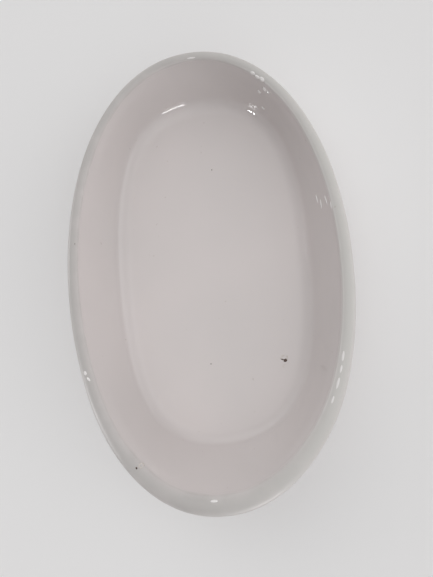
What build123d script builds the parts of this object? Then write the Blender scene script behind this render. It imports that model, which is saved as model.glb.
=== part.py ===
from build123d import *
import math
import os

# A ward bedpan: a heavy, open oval pan of white glazed pottery.
# +X runs across the pan, +Y points to its front end, which has the narrow lip, and +Z is up.
# The origin is the middle of the foot, on the surface that the pan stands on.

# Overall size
LENGTH = 380.0
WIDTH = 236.0
HEIGHT = 62.0
RIM_POWER = 2.1                # 2 is a true ellipse, more is squarer at the corners
FLOOR_POWER = 2.7
OUTLINE_POINTS = 32            # points that the closed spline of a level outline joins
LEVEL = 1e-6                   # outlines nearer than this in height are level

# Lip: the rolled edge that runs round the top, widest at the back end
LIP_SIDE = 8.0                 # from the outermost edge in to the inner edge of the lip
LIP_FRONT = 5.5
LIP_BACK = 15.0
LIP_THICKNESS = 9.0
LIP_TURN = 3.0                 # the inner edge turns down into the wall over this drop
LIP_CREST = 0.62               # place of the highest line, as a share of the lip's width

# Inside: a flat floor, a round cove and a straight leaning wall
FLOOR_HEIGHT = 10.0            # clay floor above the standing surface
FLOOR_RUN_SIDE = 31.5          # from the outermost edge in to where wall and floor would meet
FLOOR_RUN_FRONT = 23.0
FLOOR_RUN_BACK = 46.0
COVE_RADIUS = 16.0

# Outside: the wall leans in to a heel, and below the heel is a low bare foot ring
WALL_THICKNESS = 6.0           # just under the lip
HEEL_THICKNESS = 5.0           # level distance from the floor's corner out to the heel
HEEL_HEIGHT = 4.0
WALL_SWELL = 2.5               # the outside of the wall swells this far from a straight line
FOOT_INSET = 4.0               # from the heel in to the outside of the foot ring
FOOT_WIDTH = 8.0
BASE_RECESS = 3.0              # depth of the hollow underside inside the foot ring

# Glaze: a coat of glass over all of the clay but the foot ring
GLAZE = 0.5                    # fired thickness
GLAZE_LINE = 0.07              # where the outside coat stops, as a share of the wall's height
BASE_GLAZE_MARGIN = 2.0        # bare clay between the base coat and the foot ring


class Meridian:
    """The pan's cross-section in one direction, as (distance out from the middle, height)."""

    def __init__(self, reach, lip, floor_run):
        self.edge = reach - GLAZE               # outermost clay
        self.top = HEIGHT - GLAZE               # highest clay
        self.lip = lip
        self.crest = lip * LIP_CREST
        self.wall_run = lip + LIP_TURN / 2      # where the inside wall starts
        self.floor_run = floor_run
        self.heel_run = floor_run - HEEL_THICKNESS

    def foot(self):
        """From the edge of the recess, round the bottom of the foot ring, to the heel."""
        outer = self.edge - self.heel_run - FOOT_INSET
        inner = outer - FOOT_WIDTH
        return [(inner, BASE_RECESS), (inner, 0), (outer, 0), (outer, HEEL_HEIGHT)]

    def outside(self):
        """From the heel up to the neck below the lip."""
        neck_run = max(self.wall_run - WALL_THICKNESS, 1.0)
        rise = self.top - LIP_THICKNESS - HEEL_HEIGHT
        points = []
        for share in (0, GLAZE_LINE, 0.25, 0.5, 0.75, 1):
            swell = WALL_SWELL * math.sin(math.pi * share)
            run = self.heel_run + (neck_run - self.heel_run) * share - swell
            points.append((self.edge - run, HEEL_HEIGHT + rise * share))
        return points

    def lip_outside(self):
        """From the underside of the lip, round its outermost edge, up to the crest."""
        half = LIP_THICKNESS / 2
        points = []
        for degrees in (-50, -25, 0, 25, 48, 70, 90):
            angle = math.radians(degrees)
            run = self.crest * (1 - math.cos(angle))
            points.append((self.edge - run, self.top - half + half * math.sin(angle)))
        return points

    def lip_inside(self):
        """From just past the crest down round the inner edge of the lip."""
        turn = self.wall_run - self.crest
        points = []
        for degrees in (65, 45, 25, 8):
            angle = math.radians(degrees)
            run = self.crest + turn * math.cos(angle)
            points.append((self.edge - run, self.top - LIP_TURN * (1 - math.sin(angle))))
        return points

    def inside(self):
        """Down the straight wall and round the cove to the edge of the flat floor."""
        depth = self.top - LIP_TURN - FLOOR_HEIGHT
        slope = math.atan2(depth, self.floor_run - self.wall_run)
        centre_run = self.floor_run + COVE_RADIUS * math.tan(slope / 2)
        points = []
        for share in (0, 0.14, 0.28, 0.42, 0.56, 0.7, 0.85, 1):
            angle = slope * (1 - share)
            run = centre_run - COVE_RADIUS * math.sin(angle)
            height = FLOOR_HEIGHT + COVE_RADIUS * (1 - math.cos(angle))
            points.append((self.edge - run, height))
        return points


def moved_out(points, skin):
    """The same line of a cross-section moved out of the clay, square to itself."""
    moved = []
    for index, (out, height) in enumerate(points):
        before = points[max(index - 1, 0)]
        after = points[min(index + 1, len(points) - 1)]
        across = after[0] - before[0]
        up = after[1] - before[1]
        length = math.hypot(across, up)
        moved.append((out + skin * up / length, height - skin * across / length))
    return moved


def outline_power(height):
    """How square a level outline is: least round the lip, most from the floor down."""
    lip_bottom = HEIGHT - LIP_THICKNESS
    depth = (lip_bottom - height) / (lip_bottom - FLOOR_HEIGHT)
    return RIM_POWER + (FLOOR_POWER - RIM_POWER) * min(max(depth, 0), 1)


def ring(side, front, back):
    """One closed level outline through three meridian points, squarer than an ellipse."""
    bend = 2 / outline_power(side[1])
    half_length = (front[0] + back[0]) / 2
    middle = (front[0] - back[0]) / 2
    points = []
    for index in range(OUTLINE_POINTS):
        angle = 2 * math.pi * index / OUTLINE_POINTS
        across = math.copysign(abs(math.cos(angle)) ** bend, math.cos(angle))
        along = math.copysign(abs(math.sin(angle)) ** bend, math.sin(angle))
        points.append((side[0] * across, middle + half_length * along, side[1]))
    return Spline(points, periodic=True).edge()


def rings(line):
    """The level outlines along one line, a function from a meridian to its points."""
    return [ring(*points) for points in zip(line(SIDE), line(FRONT), line(BACK))]


def band(lower, upper):
    """The face between two outlines: a flat ring where they are level, or else a wall."""
    if abs(lower.position_at(0).Z - upper.position_at(0).Z) > LEVEL:
        return Face.make_surface_from_curves(lower, upper)
    inner, outer = sorted((lower, upper), key=lambda edge: edge.length)
    return Face(Wire([outer]), [Wire([inner])])


def closed_skin(outlines, capped):
    """A solid whose surface runs from outline to outline, then flat caps or round again."""
    pairs = list(zip(outlines, outlines[1:]))
    faces = []
    if capped:
        faces = [Face(Wire([outlines[0]])), Face(Wire([outlines[-1]]))]
    else:
        pairs.append((outlines[-1], outlines[0]))
    faces.extend(band(lower, upper) for lower, upper in pairs)
    return Solid(Shell(faces))


SIDE = Meridian(WIDTH / 2, LIP_SIDE, FLOOR_RUN_SIDE)
FRONT = Meridian(LENGTH / 2, LIP_FRONT, FLOOR_RUN_FRONT)
BACK = Meridian(LENGTH / 2, LIP_BACK, FLOOR_RUN_BACK)


def clay_outside(meridian):
    """The clay from the glaze line up to the crest of the lip."""
    return meridian.outside()[1:] + meridian.lip_outside()


def clay_inside(meridian):
    """The clay from the crest of the lip down to the floor."""
    return meridian.lip_outside()[-1:] + meridian.lip_inside() + meridian.inside()


def glazed(meridian):
    """The whole coated line moved out, from the glaze line over the crest to the floor."""
    return moved_out(clay_outside(meridian) + clay_inside(meridian)[1:], GLAZE)


def glazed_outside(meridian):
    """The outer surface of the coat, from the glaze line up to the crest."""
    return glazed(meridian)[:len(clay_outside(meridian))]


def glazed_inside(meridian):
    """The outer surface of the coat, from the crest down to the floor."""
    return glazed(meridian)[len(clay_outside(meridian)) - 1:]


def clay_body():
    """The fired clay: floor, wall, rolled lip and foot ring in one piece."""
    outlines = rings(Meridian.foot) + rings(Meridian.outside) + rings(Meridian.lip_outside)
    return closed_skin(outlines + rings(clay_inside)[1:], capped=True)


def outside_glaze():
    """The coat on the outside, from the glaze line above the foot to the crest."""
    return closed_skin(rings(clay_outside) + rings(glazed_outside)[::-1], capped=False)


def inside_glaze():
    """The coat on the inside, from the crest down the wall and over the floor."""
    return closed_skin(rings(clay_inside)[::-1] + rings(glazed_inside), capped=True)


def base_glaze():
    """The patch of coat on the underside, inside the foot ring."""
    edge = [(m.foot()[0][0] - BASE_GLAZE_MARGIN, BASE_RECESS - GLAZE) for m in (SIDE, FRONT, BACK)]
    return extrude(Face(Wire([ring(*edge)])), GLAZE, dir=(0, 0, 1))


PIECES = {
    "clay_body": clay_body,
    "inside_glaze": inside_glaze,
    "outside_glaze": outside_glaze,
    "base_glaze": base_glaze,
}

os.makedirs("parts", exist_ok=True)
for name, make in PIECES.items():
    piece = make()
    piece.label = name
    export_step(piece, f"parts/{name}.step")
    print(name, piece.is_valid, round(piece.volume), piece.bounding_box(), flush=True)
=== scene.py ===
import logging
import math
from collections.abc import Callable
from dataclasses import dataclass, field
from enum import Enum

import bpy
from mathutils import Matrix, Vector


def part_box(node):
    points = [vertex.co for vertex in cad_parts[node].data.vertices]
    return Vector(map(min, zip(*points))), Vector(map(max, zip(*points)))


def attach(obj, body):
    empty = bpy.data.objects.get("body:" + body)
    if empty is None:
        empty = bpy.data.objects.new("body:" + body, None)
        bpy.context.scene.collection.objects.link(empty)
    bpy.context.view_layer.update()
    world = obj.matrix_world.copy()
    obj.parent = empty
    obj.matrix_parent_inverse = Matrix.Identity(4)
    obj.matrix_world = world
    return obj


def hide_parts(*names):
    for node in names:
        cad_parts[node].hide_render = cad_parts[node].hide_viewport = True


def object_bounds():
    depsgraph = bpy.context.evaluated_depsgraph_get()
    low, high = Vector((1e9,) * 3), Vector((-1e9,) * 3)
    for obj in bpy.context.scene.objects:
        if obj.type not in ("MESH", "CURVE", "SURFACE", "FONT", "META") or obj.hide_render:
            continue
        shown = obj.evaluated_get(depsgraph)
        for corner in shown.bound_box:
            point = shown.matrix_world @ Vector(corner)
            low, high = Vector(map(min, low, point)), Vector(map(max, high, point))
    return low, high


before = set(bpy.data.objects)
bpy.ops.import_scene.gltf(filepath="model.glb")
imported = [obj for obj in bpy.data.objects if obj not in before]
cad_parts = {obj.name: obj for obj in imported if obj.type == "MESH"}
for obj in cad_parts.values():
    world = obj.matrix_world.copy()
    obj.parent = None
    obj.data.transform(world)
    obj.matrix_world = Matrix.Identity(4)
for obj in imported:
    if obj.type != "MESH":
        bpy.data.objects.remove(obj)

cad_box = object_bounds()
log = logging.getLogger("bedpan")

MM = 0.001
ROOT = "root"
POINTS_PER_QUARTER = 32
POINTS_PER_RING = 4 * POINTS_PER_QUARTER
MERGE_DISTANCE = 0.00001     # in metres
DROP_HEIGHT = 0.2            # in metres, where small faults are let down onto the pan from
CREASE_DEGREES = 60          # edges sharper than this stay sharp
RIM_POWER = 2.1              # 2 is a true ellipse, more is squarer at the corners
FLOOR_POWER = 2.7
LIP_THICKNESS = 9.0          # this and the next three are in millimetres
FLOOR_HEIGHT = 10.0
GLAZE_THICKNESS = 0.5
SINK = 0.08                  # how deep the middle of a small fault lies in the glaze


class Side(Enum):
    """Which way the skin of a piece faces where its outline ends."""

    UP = 1
    DOWN = -1


@dataclass(frozen=True)
class Ring:
    """One level oval outline of the pan, in metres."""

    half_width: float
    front: float
    back: float
    height: float

    @property
    def half_length(self) -> float:
        """Half of the outline's length along the pan."""
        return (self.front + self.back) / 2

    @property
    def middle(self) -> float:
        """How far the outline's middle lies towards the front end."""
        return (self.front - self.back) / 2

    @property
    def handle(self) -> float:
        """Bezier handle that draws the outline: rounder at the lip, squarer at the floor.

        Returns:
            The handle's length, where the outline's half width is 1.
        """
        lip_bottom = cad_box[1][2] / MM - LIP_THICKNESS
        depth = (lip_bottom - self.height / MM) / (lip_bottom - FLOOR_HEIGHT)
        power = RIM_POWER + (FLOOR_POWER - RIM_POWER) * min(max(depth, 0), 1)
        return (8 * 2 ** (-1 / power) - 4) / 3


Line = list[tuple[float, float]]
Colour = tuple[float, float, float]


@dataclass(frozen=True)
class Meridian:
    """The pan's cross-section in one direction, as (distance out, height) in millimetres.

    The line runs along the clay. The glaze lies on it, and moved_out gives its surface.
    """

    reach: float
    lip: float
    floor_run: float
    top: float
    lip_thickness: float = LIP_THICKNESS
    lip_turn: float = 3.0
    lip_crest: float = 0.62
    floor_height: float = FLOOR_HEIGHT
    cove_radius: float = 16.0
    wall_thickness: float = 6.0
    heel_thickness: float = 5.0
    heel_height: float = 4.0
    heel_ease: float = 0.7
    heel_round: float = 1.2
    heel_turn: tuple[float, float] = (0.3, 0.25)
    wall_swell: float = 2.5
    foot_inset: float = 4.0
    foot_width: float = 8.0
    foot_round: float = 1.3
    recess: float = 3.0
    recess_ease: float = 0.3
    cove_steps: int = 8
    foot_degrees: tuple[int, ...] = (0, 30, 60, 90)
    lip_outer_degrees: tuple[int, ...] = (-58, -40, -20, 0, 20, 38, 54, 68, 80, 90)
    lip_inner_degrees: tuple[int, ...] = (74, 60, 46, 32, 18, 6)
    outer_shares: tuple[float, ...] = (0.14, 0.24, 0.36, 0.5, 0.64, 0.78, 0.9, 1.0)
    inner_shares: tuple[float, ...] = (0.16, 0.33, 0.5, 0.67, 0.84)

    @property
    def edge(self) -> float:
        """Outermost clay, just under the glaze."""
        return self.reach - GLAZE_THICKNESS

    @property
    def crest(self) -> float:
        """Run from the edge in to the highest line of the lip."""
        return self.lip * self.lip_crest

    @property
    def wall_run(self) -> float:
        """Run from the edge in to the start of the inside wall."""
        return self.lip + self.lip_turn / 2

    @property
    def heel_run(self) -> float:
        """Run from the edge in to the heel."""
        return self.floor_run - self.heel_thickness

    @property
    def foot_outer(self) -> float:
        """Distance out to the outside of the foot ring."""
        return self.edge - self.heel_run - self.foot_inset

    def foot(self) -> Line:
        """From the recess, round the rounded bottom of the foot ring, to the heel.

        Returns:
            Points from the edge of the recess out to below the heel.
        """
        outer = self.foot_outer
        inner = outer - self.foot_width
        r = self.foot_round
        ease = self.recess_ease * r
        line = [(inner - r, self.recess), (inner - ease, self.recess - ease)]
        for degrees in self.foot_degrees:
            angle = math.radians(degrees)
            line.append((inner + r * (1 - math.cos(angle)), r * (1 - math.sin(angle))))
        for degrees in reversed(self.foot_degrees):
            angle = math.radians(degrees)
            line.append((outer - r * (1 - math.cos(angle)), r * (1 - math.sin(angle))))
        line.append((outer, self.heel_height - self.heel_ease))
        line.append((outer + self.heel_ease, self.heel_height))
        return line

    def heel(self) -> Line:
        """The rounded corner between the underside of the heel and the wall.

        Returns:
            The two points of the corner.
        """
        out = self.edge - self.heel_run
        back, rise = self.heel_turn
        return [(out - self.heel_round, self.heel_height), (out - back, self.heel_height + rise)]

    def outside(self, first: float = 0.03, step: float = 0.03) -> Line:
        """Up the outside wall to the neck below the lip.

        Args:
            first: where the line starts, as a share of the wall's height.
            step: the share from there to the second point.

        Returns:
            Points up the wall.
        """
        neck_run = max(self.wall_run - self.wall_thickness, 1.0)
        rise = self.top - self.lip_thickness - self.heel_height
        line = []
        for share in (first, first + step, *self.outer_shares):
            swell = self.wall_swell * math.sin(math.pi * share)
            run = self.heel_run + (neck_run - self.heel_run) * share - swell
            line.append((self.edge - run, self.heel_height + rise * share))
        return line

    def lip_outside(self) -> Line:
        """Round the outermost edge of the lip and up to its crest.

        Returns:
            Points from the neck to the crest.
        """
        half = self.lip_thickness / 2
        line = []
        for degrees in self.lip_outer_degrees:
            angle = math.radians(degrees)
            run = self.crest * (1 - math.cos(angle))
            line.append((self.edge - run, self.top - half + half * math.sin(angle)))
        return line

    def lip_inside(self) -> Line:
        """From just past the crest down round the inner edge of the lip.

        Returns:
            Points from the crest to the top of the inside wall.
        """
        turn = self.wall_run - self.crest
        line = []
        for degrees in self.lip_inner_degrees:
            angle = math.radians(degrees)
            run = self.crest + turn * math.cos(angle)
            line.append((self.edge - run, self.top - self.lip_turn * (1 - math.sin(angle))))
        return line

    def inside(self) -> Line:
        """Down the straight wall and round the cove to the edge of the floor.

        Returns:
            Points from the lip to the floor.
        """
        depth = self.top - self.lip_turn - self.floor_height
        slope = math.atan2(depth, self.floor_run - self.wall_run)
        tangent = self.cove_radius * math.tan(slope / 2)
        length = math.hypot(depth, self.floor_run - self.wall_run) - tangent
        line = []
        for share in self.inner_shares:
            run = self.wall_run + length * share * math.cos(slope)
            height = self.top - self.lip_turn - length * share * math.sin(slope)
            line.append((self.edge - run, height))
        for step in range(self.cove_steps + 1):
            angle = slope * (1 - step / self.cove_steps)
            run = self.floor_run + tangent - self.cove_radius * math.sin(angle)
            height = self.floor_height + self.cove_radius * (1 - math.cos(angle))
            line.append((self.edge - run, height))
        return line


def moved_out(line: Line, skin: float) -> Line:
    """A line of the cross-section moved out of the clay, square to itself.

    Args:
        line: points of the clay.
        skin: how far to move them, in millimetres.

    Returns:
        The moved points.
    """
    moved = []
    for index, (out, height) in enumerate(line):
        before = line[max(index - 1, 0)]
        after = line[min(index + 1, len(line) - 1)]
        across = after[0] - before[0]
        up = after[1] - before[1]
        length = math.hypot(across, up)
        moved.append((out + skin * up / length, height - skin * across / length))
    return moved


@dataclass
class PanShape:
    """The whole oval pan as three meridians, with its overall size read from the frame."""

    side: Meridian = field(init=False)
    front: Meridian = field(init=False)
    back: Meridian = field(init=False)

    def __post_init__(self) -> None:
        """Take the length, the width and the height from the frame's own box."""
        low, high = (Vector(corner) for corner in cad_box)
        size = (high - low) / MM
        top = high.z / MM - GLAZE_THICKNESS
        self.side = Meridian(size.x / 2, lip=8.0, floor_run=31.5, top=top)
        self.front = Meridian(size.y / 2, lip=5.5, floor_run=23.0, top=top)
        self.back = Meridian(size.y / 2, lip=15.0, floor_run=46.0, top=top)

    def rings(self, line: Callable[[Meridian], Line], skin: float = 0.0) -> list[Ring]:
        """The level outlines along one line of the cross-section.

        Args:
            line: a function from a meridian to its points.
            skin: how far out of the clay the outlines lie, in millimetres.

        Returns:
            One ring for each point, in metres.
        """
        lines = [moved_out(line(m), skin) for m in (self.side, self.front, self.back)]
        found = []
        for side, front, back in zip(*lines):
            found.append(Ring(side[0] * MM, front[0] * MM, back[0] * MM, side[1] * MM))
        return found


def pick_only(piece: bpy.types.Object) -> None:
    """Select one object, and make it the active one.

    Args:
        piece: the object.
    """
    bpy.ops.object.select_all(action="DESELECT")
    piece.select_set(True)
    bpy.context.view_layer.objects.active = piece


def outline(ring: Ring) -> bpy.types.Object:
    """Draw one outline of a piece as a Bezier oval, and make it a mesh of edges.

    Args:
        ring: where the outline lies.

    Returns:
        A mesh of one closed line of edges.
    """
    bpy.ops.object.select_all(action="DESELECT")
    bpy.ops.curve.primitive_bezier_circle_add(radius=1.0)
    oval = bpy.context.object
    oval.data.resolution_u = POINTS_PER_QUARTER
    for point in oval.data.splines[0].bezier_points:
        left = (point.handle_left - point.co).normalized()
        right = (point.handle_right - point.co).normalized()
        point.handle_left_type = "FREE"
        point.handle_right_type = "FREE"
        point.handle_left = point.co + left * ring.handle
        point.handle_right = point.co + right * ring.handle
    bpy.ops.object.convert(target="MESH")
    oval = bpy.context.object
    oval.location = (0, ring.middle, ring.height)
    oval.scale = (ring.half_width, ring.half_length, 1)
    bpy.ops.object.transform_apply(location=True, rotation=True, scale=True)
    return oval


def outlines(name: str, rings: list[Ring]) -> bpy.types.Object:
    """Draw every outline of a piece, and join them one after another into one mesh.

    Args:
        name: the new piece's name.
        rings: where the outlines lie.

    Returns:
        A mesh of closed lines of edges, one for each ring, in order.
    """
    piece = outline(rings[0])
    for ring in rings[1:]:
        added = outline(ring)
        pick_only(piece)
        added.select_set(True)
        bpy.ops.object.join()
    piece.name = name
    piece.data.name = name
    return piece


def pick_rings(piece: bpy.types.Object, first: int, last: int) -> None:
    """Select whole outlines of a piece in edit mode, by the order in which they were joined.

    Args:
        piece: the piece, in edit mode.
        first: number of the first outline picked.
        last: number of the last one.
    """
    bpy.ops.mesh.select_all(action="DESELECT")
    bpy.ops.object.mode_set(mode="OBJECT")
    start = first * POINTS_PER_RING
    stop = (last + 1) * POINTS_PER_RING
    for edge in piece.data.edges:
        edge.select = all(start <= number < stop for number in edge.vertices)
    bpy.ops.object.mode_set(mode="EDIT")


def skin_of(name: str, rings: list[Ring], close_first: bool, faces: Side) -> bpy.types.Object:
    """Model a skin over a stack of rings, closed over the last ring by a grid of faces.

    Args:
        name: the new piece's name.
        rings: the outlines, in order.
        close_first: whether the first outline is closed over as well.
        faces: which way the closing faces over the last ring look.

    Returns:
        The skin, with all its faces looking one way.
    """
    piece = outlines(name, rings)
    pick_only(piece)
    bpy.ops.object.mode_set(mode="EDIT")
    bpy.ops.mesh.select_mode(type="EDGE")
    for number in range(len(rings) - 1):
        pick_rings(piece, number, number + 1)
        bpy.ops.mesh.bridge_edge_loops()
    caps = [len(rings) - 1] + ([0] if close_first else [])
    for number in caps:
        pick_rings(piece, number, number)
        bpy.ops.mesh.fill_grid(span=POINTS_PER_QUARTER, offset=POINTS_PER_QUARTER // 2)
    bpy.ops.mesh.select_all(action="SELECT")
    bpy.ops.mesh.remove_doubles(threshold=MERGE_DISTANCE)
    bpy.ops.mesh.normals_make_consistent(inside=False)
    bpy.ops.object.mode_set(mode="OBJECT")
    cap_height = rings[-1].height
    cap = min(piece.data.polygons, key=lambda f: abs(f.center.z - cap_height) + f.center.xy.length)
    if cap.normal.z * faces.value < 0:
        bpy.ops.object.mode_set(mode="EDIT")
        bpy.ops.mesh.select_all(action="SELECT")
        bpy.ops.mesh.flip_normals()
        bpy.ops.object.mode_set(mode="OBJECT")
    return piece


def apply_modifier(piece: bpy.types.Object, modifier: bpy.types.Modifier) -> None:
    """Apply one modifier to its piece."""
    pick_only(piece)
    bpy.ops.object.modifier_apply(modifier=modifier.name)


def thicken(piece: bpy.types.Object, thickness: float, offset: float, even: bool = False) -> None:
    """Give a skin its thickness.

    Args:
        piece: the skin.
        thickness: how thick it becomes, in metres.
        offset: 1 thickens it outwards and -1 inwards.
        even: whether it is as thick at its corners.
    """
    wall = piece.modifiers.new("thickness", "SOLIDIFY")
    wall.thickness = thickness
    wall.offset = offset
    wall.use_even_offset = even
    apply_modifier(piece, wall)


def round_off(piece: bpy.types.Object) -> None:
    """Divide a piece's faces once, into a rounder surface.

    Args:
        piece: the piece.
    """
    rounded = piece.modifiers.new("rounded", "SUBSURF")
    rounded.levels = 1
    rounded.render_levels = 1
    apply_modifier(piece, rounded)


@dataclass(frozen=True)
class Waves:
    """Slow unevenness of a hand-finished surface, as a displacement along its normals."""

    size: float
    height: float
    direction: str = "NORMAL"
    group: str = ""
    middle: float = 0.5

    def press_into(self, piece: bpy.types.Object) -> None:
        """Displace the piece's mesh by a soft cloud pattern, and apply it.

        Args:
            piece: the piece.
        """
        clouds = bpy.data.textures.new(f"{piece.name}_waves", type="CLOUDS")
        clouds.noise_scale = self.size
        clouds.noise_depth = 1
        modifier = piece.modifiers.new("waves", "DISPLACE")
        modifier.texture = clouds
        modifier.texture_coords = "LOCAL"
        modifier.direction = self.direction
        modifier.mid_level = self.middle
        modifier.strength = self.height
        if self.group:
            modifier.vertex_group = self.group
        apply_modifier(piece, modifier)


@dataclass(frozen=True)
class Pull:
    """A place where the soft clay was pulled out of true before it was fired."""

    place: tuple[float, float]
    by: tuple[float, float]
    reach: float
    grip: float = 0.012

    def bend(self, piece: bpy.types.Object) -> None:
        """Move the wall near the place, with a smooth falloff round it.

        Args:
            piece: the piece that is bent.
        """
        target = Vector((*self.place, 0))
        pick_only(piece)
        bpy.ops.object.mode_set(mode="EDIT")
        bpy.ops.mesh.select_mode(type="VERT")
        bpy.ops.mesh.select_all(action="DESELECT")
        bpy.ops.object.mode_set(mode="OBJECT")
        for vertex in piece.data.vertices:
            vertex.select = (Vector((*vertex.co.xy, 0)) - target).length < self.grip
        bpy.ops.object.mode_set(mode="EDIT")
        bpy.ops.transform.translate(
            value=(*self.by, 0),
            use_proportional_edit=True,
            proportional_edit_falloff="SMOOTH",
            proportional_size=self.reach,
        )
        bpy.ops.object.mode_set(mode="OBJECT")


OUT_OF_TRUE = (
    Pull(place=(-0.072, -0.145), by=(-0.0013, -0.0013), reach=0.09),
    Pull(place=(0.052, -0.165), by=(-0.0016, 0.0016), reach=0.08),
)


def smooth(piece: bpy.types.Object, degrees: float = CREASE_DEGREES) -> None:
    """Shade the piece smooth, but for edges sharper than the angle."""
    pick_only(piece)
    bpy.ops.object.shade_smooth_by_angle(angle=math.radians(degrees))


class NodeBench:
    """A material's node tree, with the few nodes that the finishes share."""

    def __init__(self, name: str) -> None:
        """Start a material with a principled shader and object coordinates.

        Args:
            name: the material's name.
        """
        self.material = bpy.data.materials.new(name)
        self.material.use_nodes = True
        self.nodes = self.material.node_tree.nodes
        self.links = self.material.node_tree.links
        self.shader = next(n for n in self.nodes if n.type == "BSDF_PRINCIPLED")
        self.coords = self.nodes.new("ShaderNodeTexCoord")

    def noise(self, scale: float, detail: float, distortion: float = 0.0) -> bpy.types.NodeSocket:
        """A cloud pattern on object coordinates.

        Args:
            scale: patterns in a metre.
            detail: how many finer layers it has.
            distortion: how far the pattern is stirred.

        Returns:
            The pattern's value, from 0 to 1.
        """
        node = self.nodes.new("ShaderNodeTexNoise")
        node.inputs["Scale"].default_value = scale
        node.inputs["Detail"].default_value = detail
        node.inputs["Distortion"].default_value = distortion
        self.links.new(self.coords.outputs["Object"], node.inputs["Vector"])
        return node.outputs["Fac"]

    def place(self, axis: str, scale: float = 1.0,
              added: bpy.types.NodeSocket | None = None) -> bpy.types.NodeSocket:
        """How far along one of the pan's axes a point lies.

        Args:
            axis: X, Y or Z.
            scale: what its coordinate is multiplied by.
            added: a small value added to the place, or nothing.

        Returns:
            The sum in metres.
        """
        parts = self.nodes.new("ShaderNodeSeparateXYZ")
        self.links.new(self.coords.outputs["Object"], parts.inputs["Vector"])
        node = self.nodes.new("ShaderNodeMath")
        node.operation = "MULTIPLY_ADD"
        node.inputs[1].default_value = scale
        node.inputs[2].default_value = 0.0
        self.links.new(parts.outputs[axis], node.inputs[0])
        if added is not None:
            self.links.new(added, node.inputs[2])
        return node.outputs["Value"]

    def between(self, value: bpy.types.NodeSocket, low: float, high: float,
                start: float = 0.3, stop: float = 0.7, eased: bool = False) -> bpy.types.NodeSocket:
        """Spread a pattern's middle range from one value to another.

        Args:
            value: the pattern.
            low: result at the start.
            high: result at the stop.
            start: pattern value where the result starts to rise.
            stop: pattern value where it has risen.
            eased: whether it starts and stops gently.

        Returns:
            The spread value.
        """
        node = self.nodes.new("ShaderNodeMapRange")
        node.interpolation_type = "SMOOTHSTEP" if eased else "LINEAR"
        node.inputs["From Min"].default_value = start
        node.inputs["From Max"].default_value = stop
        node.inputs["To Min"].default_value = low
        node.inputs["To Max"].default_value = high
        self.links.new(value, node.inputs["Value"])
        return node.outputs["Result"]

    def total(self, first: bpy.types.NodeSocket, second: bpy.types.NodeSocket) -> bpy.types.NodeSocket:
        """Add two values together.

        Args:
            first: one of them.
            second: the other.

        Returns:
            Their sum.
        """
        node = self.nodes.new("ShaderNodeMath")
        node.operation = "ADD"
        self.links.new(first, node.inputs[0])
        self.links.new(second, node.inputs[1])
        return node.outputs["Value"]

    def blend(self, share: bpy.types.NodeSocket, first: Colour | bpy.types.NodeSocket,
              second: Colour | bpy.types.NodeSocket) -> bpy.types.NodeSocket:
        """Mix two colours by a share.

        Args:
            share: 0 gives the first and 1 the second.
            first: a colour, or the socket of one.
            second: a colour, or the socket of one.

        Returns:
            The mixed colour.
        """
        node = self.nodes.new("ShaderNodeMix")
        node.data_type = "RGBA"
        self.links.new(share, node.inputs["Factor"])
        for name, colour in (("A", first), ("B", second)):
            socket = next(s for s in node.inputs if s.name == name and s.type == "RGBA")
            if isinstance(colour, bpy.types.NodeSocket):
                self.links.new(colour, socket)
            else:
                socket.default_value = (*colour, 1)
        return next(s for s in node.outputs if s.type == "RGBA")

    def bump(self, height: bpy.types.NodeSocket, distance: float,
             under: bpy.types.NodeSocket | None = None) -> bpy.types.NodeSocket:
        """Turn a pattern into fine relief.

        Args:
            height: the pattern.
            distance: the relief's depth in metres.
            under: a coarser relief that this one lies on.

        Returns:
            The surface's normal.
        """
        node = self.nodes.new("ShaderNodeBump")
        node.inputs["Strength"].default_value = 1.0
        node.inputs["Distance"].default_value = distance
        self.links.new(height, node.inputs["Height"])
        if under is not None:
            self.links.new(under, node.inputs["Normal"])
        return node.outputs["Normal"]

    def set(self, name: str, value: float) -> None:
        """Give one of the shader's own sockets a value that is the same all over."""
        self.shader.inputs[name].default_value = value

    def feed(self, name: str, socket: bpy.types.NodeSocket) -> None:
        """Feed one of the shader's sockets from a pattern."""
        self.links.new(socket, self.shader.inputs[name])


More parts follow.
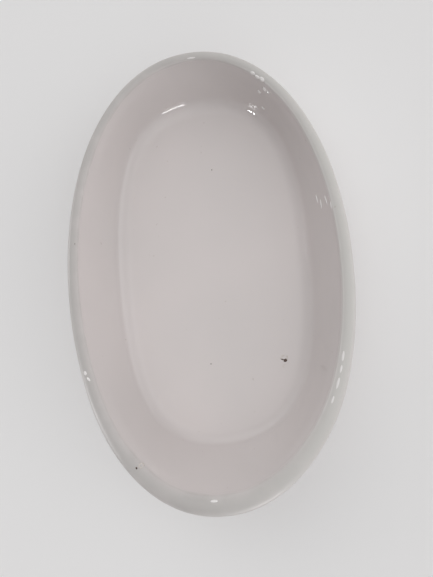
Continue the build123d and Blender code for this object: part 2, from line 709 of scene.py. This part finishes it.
@dataclass(frozen=True)
class WhiteGlaze:
    """Thick, warm white pottery glaze: glossy, uneven in tone and flow, thin over the lip. The lip's
    colour is darker, partly thin glaze and partly painted shade, with more painted shade on its -X
    side.
    """

    name: str = "white_glaze"
    light: Colour = (0.74, 0.69, 0.68)
    deep: Colour = (0.70, 0.66, 0.65)
    # The lip's colour: partly thin glaze, partly painted shade where the lip gets less light.
    thin: Colour = (0.635, 0.625, 0.60)
    # Painted shade: the lip's colour on its -X side, away from the light.
    lip_left_painted_shade: Colour = (0.53, 0.51, 0.495)
    thins_from: float = 0.0575
    thins_to: float = 0.0618
    thins_unevenly: float = 0.0006
    uneven_size: float = 60.0
    # Along -X, where the painted shade on the lip starts and where it is full.
    left_shade_from: float = -0.10
    left_shade_to: float = 0.02
    dulls_from: float = 0.053
    tone_size: float = 9.0
    pinhole: Colour = (0.36, 0.29, 0.24)
    pinhole_size: float = 330.0
    pinhole_share: float = 0.22
    pinhole_from: float = 0.86
    pinhole_to: float = 0.90
    gloss_size: float = 30.0
    smoothest: float = 0.022
    roughest: float = 0.045
    dull: float = 0.42
    flow_size: float = 45.0
    flow_stir: float = 0.4
    flow_depth: float = 0.00038
    peel_size: float = 260.0
    peel_depth: float = 0.000010
    refraction: float = 1.52

    def material(self) -> bpy.types.Material:
        """Build the glaze's nodes.

        Returns:
            The material.
        """
        bench = NodeBench(self.name)
        tone = bench.between(bench.noise(self.tone_size, 2.0), 0.0, 1.0)
        colour = bench.blend(tone, self.light, self.deep)
        # Painted shade: the lip's colour darkens towards -X, the side away from the light.
        left_shade_share = bench.between(bench.place("X", -1.0), 0.0, 1.0, self.left_shade_from, self.left_shade_to)
        edge = bench.blend(left_shade_share, self.thin, self.lip_left_painted_shade)
        uneven = bench.noise(self.uneven_size, 2.0)
        uneven = bench.between(uneven, -self.thins_unevenly, self.thins_unevenly)
        height = bench.place("Z", added=uneven)
        # Thin glaze and painted shade: from thins_from up, the lip takes the darker lip colour.
        share = bench.between(height, 0.0, 1.0, self.thins_from, self.thins_to)
        colour = bench.blend(share, colour, edge)
        dots = bench.noise(self.pinhole_size, 0.0)
        dots = bench.between(dots, 0.0, self.pinhole_share, self.pinhole_from, self.pinhole_to)
        bench.feed("Base Color", bench.blend(dots, colour, self.pinhole))
        gloss = bench.between(bench.noise(self.gloss_size, 3.0), self.smoothest, self.roughest)
        dullness = bench.between(height, 0.0, self.dull, self.dulls_from, self.thins_to, eased=True)
        bench.feed("Roughness", bench.total(gloss, dullness))
        flow = bench.bump(bench.noise(self.flow_size, 1.0, self.flow_stir), self.flow_depth)
        bench.feed("Normal", bench.bump(bench.noise(self.peel_size, 1.0), self.peel_depth, flow))
        bench.set("IOR", self.refraction)
        return bench.material


@dataclass(frozen=True)
class BareClay:
    """Unglazed fired clay: matte, off-white and faintly speckled, with a dry fine grain."""

    name: str = "fired_clay"
    light: Colour = (0.70, 0.62, 0.50)
    deep: Colour = (0.60, 0.51, 0.39)
    tone_size: float = 35.0
    speckle: Colour = (0.25, 0.17, 0.11)
    speckle_size: float = 900.0
    speckle_share: float = 0.8
    speckle_from: float = 0.72
    speckle_to: float = 0.77
    gloss_size: float = 300.0
    smoothest: float = 0.72
    roughest: float = 0.92
    grain_size: float = 1800.0
    grain_depth: float = 0.00012
    refraction: float = 1.45

    def material(self) -> bpy.types.Material:
        """Build the clay's nodes.

        Returns:
            The material.
        """
        bench = NodeBench(self.name)
        tone = bench.between(bench.noise(self.tone_size, 4.0), 0.0, 1.0)
        colour = bench.blend(tone, self.light, self.deep)
        dots = bench.noise(self.speckle_size, 0.0)
        dots = bench.between(dots, 0.0, self.speckle_share, self.speckle_from, self.speckle_to)
        bench.feed("Base Color", bench.blend(dots, colour, self.speckle))
        gloss = bench.between(bench.noise(self.gloss_size, 2.0), self.smoothest, self.roughest)
        bench.feed("Roughness", gloss)
        bench.feed("Normal", bench.bump(bench.noise(self.grain_size, 3.0), self.grain_depth))
        bench.set("IOR", self.refraction)
        return bench.material


@dataclass(frozen=True)
class IronSpeck:
    """A burnt-out grain of iron in the glaze: nearly black, brown where it is thin."""

    name: str = "iron_speck"
    core: Colour = (0.022, 0.014, 0.012)
    rim: Colour = (0.16, 0.10, 0.075)
    tone_size: float = 1500.0
    gloss_size: float = 900.0
    smoothest: float = 0.35
    roughest: float = 0.6

    def material(self) -> bpy.types.Material:
        """Build the speck's nodes.

        Returns:
            The material.
        """
        bench = NodeBench(self.name)
        tone = bench.between(bench.noise(self.tone_size, 2.0), 0.0, 1.0)
        bench.feed("Base Color", bench.blend(tone, self.core, self.rim))
        gloss = bench.between(bench.noise(self.gloss_size, 2.0), self.smoothest, self.roughest)
        bench.feed("Roughness", gloss)
        return bench.material


@dataclass(frozen=True)
class BurstGlass:
    """Thin pale glass of a burst bubble, a little yellower and rougher than the coat."""

    name: str = "burst_glass"
    light: Colour = (0.76, 0.72, 0.69)
    deep: Colour = (0.60, 0.55, 0.51)
    tone_size: float = 900.0
    gloss_size: float = 500.0
    smoothest: float = 0.08
    roughest: float = 0.25
    refraction: float = 1.52

    def material(self) -> bpy.types.Material:
        """Build the glass's nodes.

        Returns:
            The material.
        """
        bench = NodeBench(self.name)
        tone = bench.between(bench.noise(self.tone_size, 2.0), 0.0, 1.0)
        bench.feed("Base Color", bench.blend(tone, self.light, self.deep))
        gloss = bench.between(bench.noise(self.gloss_size, 2.0), self.smoothest, self.roughest)
        bench.feed("Roughness", gloss)
        bench.set("IOR", self.refraction)
        return bench.material


@dataclass(frozen=True)
class StudioPaper:
    """The plain pale paper that the pan stands on."""

    name: str = "studio_paper"
    tone: Colour = (0.90, 0.90, 0.90)
    tone_size: float = 3.0
    darkest: float = 0.99
    roughness: float = 0.9

    def material(self) -> bpy.types.Material:
        """Build the paper's nodes.

        Returns:
            The material.
        """
        bench = NodeBench(self.name)
        share = bench.between(bench.noise(self.tone_size, 1.0), 0.0, 1.0)
        darker = tuple(c * self.darkest for c in self.tone)
        bench.feed("Base Color", bench.blend(share, self.tone, darker))
        bench.set("Roughness", self.roughness)
        return bench.material


def settle(piece: bpy.types.Object, material: bpy.types.Material, slot: str, *nodes: str) -> None:
    """Give a finished piece its material, and join it to the frame.

    Args:
        piece: the finished piece.
        material: its finish.
        slot: the name of the finish's material slot; not used.
        nodes: the frame's nodes that the piece stands for.
    """
    piece.data.materials.clear()
    piece.data.materials.append(material)
    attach(piece, ROOT)
    if nodes:
        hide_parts(*nodes)
    log.info("%s: %d faces", piece.name, len(piece.data.polygons))


@dataclass
class ClayBody:
    """The fired clay: floor, wall, rolled lip and foot ring, bare only round the foot."""

    shape: PanShape
    finish: BareClay = BareClay()
    crease: float = 50

    def build(self) -> bpy.types.Object:
        """Model the clay in one closed skin, from the recess over the lip to the floor.

        Returns:
            The piece.
        """
        rings = self.shape.rings(
            lambda m: m.foot() + m.heel() + m.outside() + m.lip_outside() + m.lip_inside() + m.inside()
        )
        piece = skin_of("clay", rings, close_first=True, faces=Side.UP)
        for pull in OUT_OF_TRUE:
            pull.bend(piece)
        round_off(piece)
        smooth(piece, self.crease)
        settle(piece, self.finish.material(), "fired_clay", "clay_body")
        return piece


@dataclass
class GlazeCoat:
    """The coat of glass over the floor, the wall and the lip, down to a line above the foot."""

    shape: PanShape
    finish: WhiteGlaze = WhiteGlaze()
    line: float = 0.07
    edge_depth: float = 0.0002
    edge_reach: float = 0.06
    flow: Waves = Waves(size=0.05, height=0.0004, middle=0.85)
    edge_wander: Waves = Waves(size=0.016, height=0.0035, direction="Z", group="edge")

    def build(self) -> bpy.types.Object:
        """Model the coat's surface, let its edge wander, and give it its thickness.

        Returns:
            The piece.
        """
        rings = self.shape.rings(
            lambda m: m.outside(self.line) + m.lip_outside() + m.lip_inside() + m.inside(),
            GLAZE_THICKNESS,
        )
        piece = skin_of("glaze_coat", rings, close_first=False, faces=Side.UP)
        for pull in OUT_OF_TRUE:
            pull.bend(piece)
        edge = piece.vertex_groups.new(name="edge")
        top = rings[0].height + self.edge_depth
        for vertex in piece.data.vertices:
            if vertex.co.z < top and vertex.co.xy.length > self.edge_reach:
                edge.add([vertex.index], 1.0, "REPLACE")
        self.edge_wander.press_into(piece)
        self.flow.press_into(piece)
        thicken(piece, GLAZE_THICKNESS * MM, offset=-1, even=True)
        round_off(piece)
        smooth(piece)
        settle(piece, self.finish.material(), "white_glaze", "inside_glaze", "outside_glaze")
        return piece


@dataclass
class BaseGlaze:
    """The patch of glaze on the underside, inside the bare foot ring."""

    finish: WhiteGlaze = WhiteGlaze(name="base_glaze", flow_depth=0.0003)
    wander: Waves = Waves(size=0.02, height=0.0025, direction="X", group="edge")
    drift: Waves = Waves(size=0.024, height=0.0025, direction="Y", group="edge")
    border: float = 0.002
    edge_from: float = 0.97

    def build(self) -> bpy.types.Object:
        """Model the patch from its outline, which the frame gives.

        Returns:
            The piece.
        """
        low, high = (Vector(corner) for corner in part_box("base_glaze"))
        rim = Ring(high.x, high.y, -low.y, high.z)
        inner = Ring(high.x - self.border, high.y - self.border, -low.y - self.border, high.z)
        piece = skin_of("underside_glaze", [rim, inner], close_first=False, faces=Side.DOWN)
        edge = piece.vertex_groups.new(name="edge")
        for vertex in piece.data.vertices:
            across = (vertex.co.x / rim.half_width) ** 2
            along = ((vertex.co.y - rim.middle) / rim.half_length) ** 2
            if across + along > self.edge_from:
                edge.add([vertex.index], 1.0, "REPLACE")
        self.wander.press_into(piece)
        self.drift.press_into(piece)
        thicken(piece, high.z - low.z, offset=1)
        round_off(piece)
        smooth(piece)
        settle(piece, self.finish.material(), "base_glaze", "base_glaze")
        return piece


@dataclass(frozen=True)
class Speck:
    """A small fault in the glaze: its place and size in millimetres, and where its length points."""

    across: float
    along: float
    width: float
    length: float
    turn: float
    height: float = 0.5


def lay_on(coat: bpy.types.Object, part: bpy.types.Object, speck: Speck) -> None:
    """Lay a small part flat on the coat, half sunk in it.

    Args:
        coat: the glaze that it lies on.
        part: the small part, modelled one millimetre wide round the origin.
        speck: its place, its size and how it is turned.
    """
    above = Vector((speck.across * MM, speck.along * MM, DROP_HEIGHT))
    _, point, normal, _ = coat.ray_cast(above, Vector((0, 0, -1)))
    heading = Vector((math.cos(math.radians(speck.turn)), math.sin(math.radians(speck.turn)), 0))
    across = heading.cross(normal).normalized()
    along = normal.cross(across)
    lie = Matrix((across, along, normal)).transposed().to_4x4()
    size = Matrix.Diagonal((speck.width, speck.length, speck.height, 1))
    part.matrix_world = Matrix.Translation(point - normal * SINK * MM) @ lie @ size
    bpy.ops.object.transform_apply(location=True, rotation=True, scale=True)


def sink_to_lip(part: bpy.types.Object) -> None:
    """Lower a part that stands higher than the lip, until it is level with it.

    Args:
        part: the small part.
    """
    proud = max(vertex.co.z for vertex in part.data.vertices) - cad_box[1][2]
    for vertex in part.data.vertices:
        vertex.co.z -= max(proud, 0.0)


def faults(name: str, coat: bpy.types.Object, specks: tuple[Speck, ...],
           add_part: Callable[[], object], uneven: Waves) -> bpy.types.Object:
    """Model one small part for each speck, lay it on the coat uneven, and join them all.

    Args:
        name: the new piece's name.
        coat: the glaze that the parts lie on.
        specks: where they lie and how large they are.
        add_part: adds one of them, one millimetre wide round the origin.
        uneven: the waves pressed into each.

    Returns:
        The piece.
    """
    parts = []
    for speck in specks:
        bpy.ops.object.select_all(action="DESELECT")
        add_part()
        part = bpy.context.object
        lay_on(coat, part, speck)
        uneven.press_into(part)
        sink_to_lip(part)
        parts.append(part)
    pick_only(parts[0])
    for part in parts:
        part.select_set(True)
    bpy.ops.object.join()
    piece = bpy.context.object
    piece.name = name
    piece.data.name = name
    smooth(piece)
    return piece


def add_ball(subdivisions: int) -> None:
    """Add a ball one millimetre wide.

    Args:
        subdivisions: how finely it is divided.
    """
    bpy.ops.mesh.primitive_ico_sphere_add(subdivisions=subdivisions, radius=0.5 * MM)


def add_ring() -> None:
    """Add a ring one millimetre wide."""
    bpy.ops.mesh.primitive_torus_add(
        major_segments=28, minor_segments=10, major_radius=0.36 * MM, minor_radius=0.14 * MM
    )


@dataclass
class IronSpecks:
    """The few dark specks in the coat, each a flat grain sunk into the glass."""

    coat: bpy.types.Object
    finish: IronSpeck = IronSpeck()
    specks: tuple[Speck, ...] = (
        Speck(58.5, -76.2, 2.9, 3.5, 20, 0.9),
        Speck(56.0, -75.2, 1.3, 3.0, 155, 0.6),
        Speck(6.8, 104.0, 1.2, 1.0, 40),
        Speck(-8.2, -75.0, 1.3, 1.0, 70),
        Speck(-108.0, 37.6, 1.0, 0.8, 10),
        Speck(-66.2, -148.6, 1.9, 1.5, 30),
    )
    uneven: Waves = Waves(size=0.0009, height=0.0003)

    def build(self) -> bpy.types.Object:
        """Model each grain from a ball pressed flat.

        Returns:
            The piece.
        """
        piece = faults("iron_specks", self.coat, self.specks, lambda: add_ball(3), self.uneven)
        settle(piece, self.finish.material(), "white_glaze")
        return piece


@dataclass
class BurstBubbles:
    """Low rims of glass left where bubbles burst in the kiln, each a ring lying on the coat."""

    coat: bpy.types.Object
    finish: BurstGlass = BurstGlass()
    rims: tuple[Speck, ...] = (
        Speck(57.6, -73.6, 5.4, 7.4, 5, 1.3),
        Speck(57.0, -81.0, 2.4, 3.4, 60, 1.2),
        Speck(-62.5, -147.0, 4.0, 5.5, 35, 1.1),
    )
    uneven: Waves = Waves(size=0.0014, height=0.0009)

    def build(self) -> bpy.types.Object:
        """Model each rim from a low ring.

        Returns:
            The piece.
        """
        piece = faults("burst_bubbles", self.coat, self.rims, add_ring, self.uneven)
        settle(piece, self.finish.material(), "white_glaze")
        return piece


@dataclass
class GlazeBeads:
    """Small runs and beads of glass on the lip and the wall, which catch the light; their whiter
    colour is a painted highlight.
    """

    coat: bpy.types.Object
    # Painted highlight: the beads are coloured whiter than the coat, standing in for glints.
    finish: WhiteGlaze = WhiteGlaze(
        name="glaze_beads",
        light=(0.92, 0.90, 0.89),
        deep=(0.88, 0.86, 0.85),
        thins_from=0.070,
        thins_to=0.080,
        dulls_from=0.070,
    )
    beads: tuple[Speck, ...] = (
        Speck(-104.8, -71.0, 3.0, 4.6, 105, 1.2),
        Speck(-102.4, -76.0, 2.4, 5.6, 125, 1.2),
        Speck(53.5, 162.0, 3.0, 4.4, 150, 1.8),
        Speck(57.0, 158.5, 2.6, 5.0, 140, 2.0),
        Speck(60.5, 155.6, 3.4, 5.2, 130, 2.0),
        Speck(57.4, 153.6, 3.0, 4.0, 100, 2.0),
        Speck(62.0, 150.6, 3.4, 4.6, 60, 2.0),
        Speck(59.4, 147.6, 2.6, 3.6, 100, 1.6),
        Speck(64.6, 147.6, 2.6, 3.2, 150, 1.6),
        Speck(96.6, 56.9, 1.6, 8.0, 105, 1.2),
        Speck(99.0, 51.2, 1.7, 8.0, 72, 1.3),
        Speck(102.2, 51.9, 1.6, 8.0, 112, 1.2),
        Speck(105.0, 46.2, 1.4, 6.0, 78, 1.0),
        Speck(102.2, -71.0, 1.8, 8.0, 76, 0.8),
        Speck(99.8, -80.5, 1.6, 6.0, 73, 0.8),
        Speck(96.4, -91.0, 1.8, 9.0, 70, 0.8),
        Speck(91.4, -103.0, 1.6, 6.0, 67, 0.8),
        Speck(-5.5, -175.5, 2.0, 6.0, 2, 0.9),
        Speck(4.0, 183.3, 1.2, 8.0, 178, 0.5),
    )
    uneven: Waves = Waves(size=0.002, height=0.0002)

    def build(self) -> bpy.types.Object:
        """Model each bead from a ball.

        Returns:
            The piece.
        """
        piece = faults("glaze_beads", self.coat, self.beads, lambda: add_ball(4), self.uneven)
        settle(piece, self.finish.material(), "white_glaze")
        return piece


def turned_to(place: Vector, target: Vector, top: Vector) -> Matrix:
    """Where an object stands when its -Z looks at a target.

    Args:
        place: where it stands.
        target: what it looks at.
        top: the direction that is upwards in its view.

    Returns:
        Its matrix.
    """
    back = (place - target).normalized()
    right = top.cross(back).normalized()
    up = back.cross(right)
    turn = Matrix((right, up, back)).transposed().to_4x4()
    return Matrix.Translation(place) @ turn


def direction_of(azimuth: float, elevation: float) -> Vector:
    """The direction that two angles give.

    Args:
        azimuth: degrees from +X towards +Y.
        elevation: degrees above the floor.

    Returns:
        A vector of length 1.
    """
    level = math.cos(math.radians(elevation))
    turn = math.radians(azimuth)
    up = math.sin(math.radians(elevation))
    return Vector((level * math.cos(turn), level * math.sin(turn), up))


@dataclass(frozen=True)
class Glow:
    """A broad, soft-edged bright part of the studio's white tent."""

    azimuth: float
    elevation: float
    strength: float
    tightness: float


@dataclass(frozen=True)
class Tent:
    """The white tent round the pan: even light with a few broad brighter parts."""

    even: float = 0.12
    colour: Colour = (1.0, 0.99, 0.99)
    glows: tuple[Glow, ...] = (
        Glow(azimuth=0, elevation=90, strength=0.84, tightness=8.0),
        Glow(azimuth=285, elevation=62, strength=0.6, tightness=8.0),
        Glow(azimuth=283, elevation=28, strength=0.55, tightness=7.0),
        Glow(azimuth=100, elevation=34, strength=0.8, tightness=6.0),
        Glow(azimuth=0, elevation=14, strength=1.45, tightness=5.0),
        Glow(azimuth=135, elevation=22, strength=0.75, tightness=6.0),
    )

    def light(self) -> None:
        """Build the world's nodes."""
        world = bpy.data.worlds.new("tent")
        world.use_nodes = True
        nodes = world.node_tree.nodes
        links = world.node_tree.links
        background = next(n for n in nodes if n.type == "BACKGROUND")
        background.inputs["Color"].default_value = (*self.colour, 1)
        coords = nodes.new("ShaderNodeTexCoord")
        total = None
        for glow in self.glows:
            facing = nodes.new("ShaderNodeVectorMath")
            facing.operation = "DOT_PRODUCT"
            facing.inputs[1].default_value = direction_of(glow.azimuth, glow.elevation)
            links.new(coords.outputs["Generated"], facing.inputs[0])
            front = nodes.new("ShaderNodeMath")
            front.operation = "MAXIMUM"
            front.inputs[1].default_value = 0
            links.new(facing.outputs["Value"], front.inputs[0])
            soft = nodes.new("ShaderNodeMath")
            soft.operation = "POWER"
            soft.inputs[1].default_value = glow.tightness
            links.new(front.outputs["Value"], soft.inputs[0])
            part = nodes.new("ShaderNodeMath")
            part.operation = "MULTIPLY_ADD"
            part.inputs[1].default_value = glow.strength
            part.inputs[2].default_value = self.even
            links.new(soft.outputs["Value"], part.inputs[0])
            if total is not None:
                links.new(total, part.inputs[2])
            total = part.outputs["Value"]
        links.new(total, background.inputs["Strength"])
        bpy.context.scene.world = world


@dataclass(frozen=True)
class Window:
    """A small, bright, far window that draws crisp streaks in the glaze and lights nothing else."""

    name: str
    azimuth: float
    elevation: float
    size: tuple[float, float]
    watts: float
    distance: float = 1.6

    def light(self, target: Vector) -> None:
        """Hang the window's lamp, turned to the pan.

        Args:
            target: the point that it looks at.
        """
        data = bpy.data.lights.new(self.name, type="AREA")
        data.shape = "RECTANGLE"
        data.size, data.size_y = self.size
        data.energy = self.watts
        lamp = bpy.data.objects.new(self.name, data)
        lamp.visible_diffuse = False
        bpy.context.collection.objects.link(lamp)
        place = target + direction_of(self.azimuth, self.elevation) * self.distance
        lamp.matrix_world = turned_to(place, target, Vector((0, 0, 1)))


@dataclass
class Studio:
    """The pale floor, the light and the camera."""

    floor_size: float = 14.0
    floor_squares: int = 8
    tent: Tent = Tent()
    lens: float = 27.45
    sensor_width: float = 36.0
    nearest: float = 0.01
    farthest: float = 50.0
    camera_place: tuple[float, float, float] = (0.0604, -0.0385, 0.4080)
    camera_target: tuple[float, float, float] = (0.0092, -0.0108, 0.0575)
    camera_top: tuple[float, float, float] = (0.0905, 0.9935, 0.065)
    lit_point: tuple[float, float, float] = (0, 0, 0.03)
    windows: tuple[Window, ...] = (
        Window("window_near", azimuth=281, elevation=11, size=(0.60, 0.13), watts=7.5),
        Window("window_left", azimuth=209, elevation=21, size=(0.26, 0.18), watts=5.5),
        Window("window_low", azimuth=199, elevation=8, size=(0.20, 0.16), watts=5.0),
        Window("window_far", azimuth=167, elevation=10, size=(0.24, 0.24), watts=5.0),
    )

    def lay_floor(self) -> None:
        """Lay the paper at the height that the pan stands on."""
        bpy.ops.object.select_all(action="DESELECT")
        bpy.ops.mesh.primitive_grid_add(
            x_subdivisions=self.floor_squares,
            y_subdivisions=self.floor_squares,
            size=self.floor_size,
            location=(0, 0, cad_box[0][2]),
        )
        floor = bpy.context.object
        floor.name = "studio_floor"
        bpy.ops.object.transform_apply(location=True, rotation=True, scale=True)
        floor.data.materials.append(StudioPaper().material())

    def set_camera(self) -> None:
        """Stand the camera above the pan, a little to its right."""
        data = bpy.data.cameras.new("camera")
        data.lens = self.lens
        data.sensor_width = self.sensor_width
        data.clip_start = self.nearest
        data.clip_end = self.farthest
        camera = bpy.data.objects.new("camera", data)
        bpy.context.collection.objects.link(camera)
        camera.matrix_world = turned_to(
            Vector(self.camera_place), Vector(self.camera_target), Vector(self.camera_top)
        )
        bpy.context.scene.camera = camera

    def build(self) -> None:
        """Set up the whole studio."""
        self.lay_floor()
        self.tent.light()
        for window in self.windows:
            window.light(Vector(self.lit_point))
        self.set_camera()
        bpy.context.scene.view_settings.view_transform = "Standard"


def main() -> None:
    """Build the pan and its studio in order."""
    logging.basicConfig(level=logging.INFO)
    shape = PanShape()
    ClayBody(shape).build()
    coat = GlazeCoat(shape).build()
    BaseGlaze().build()
    IronSpecks(coat).build()
    BurstBubbles(coat).build()
    GlazeBeads(coat).build()
    Studio().build()


if __name__ == "__main__":
    main()
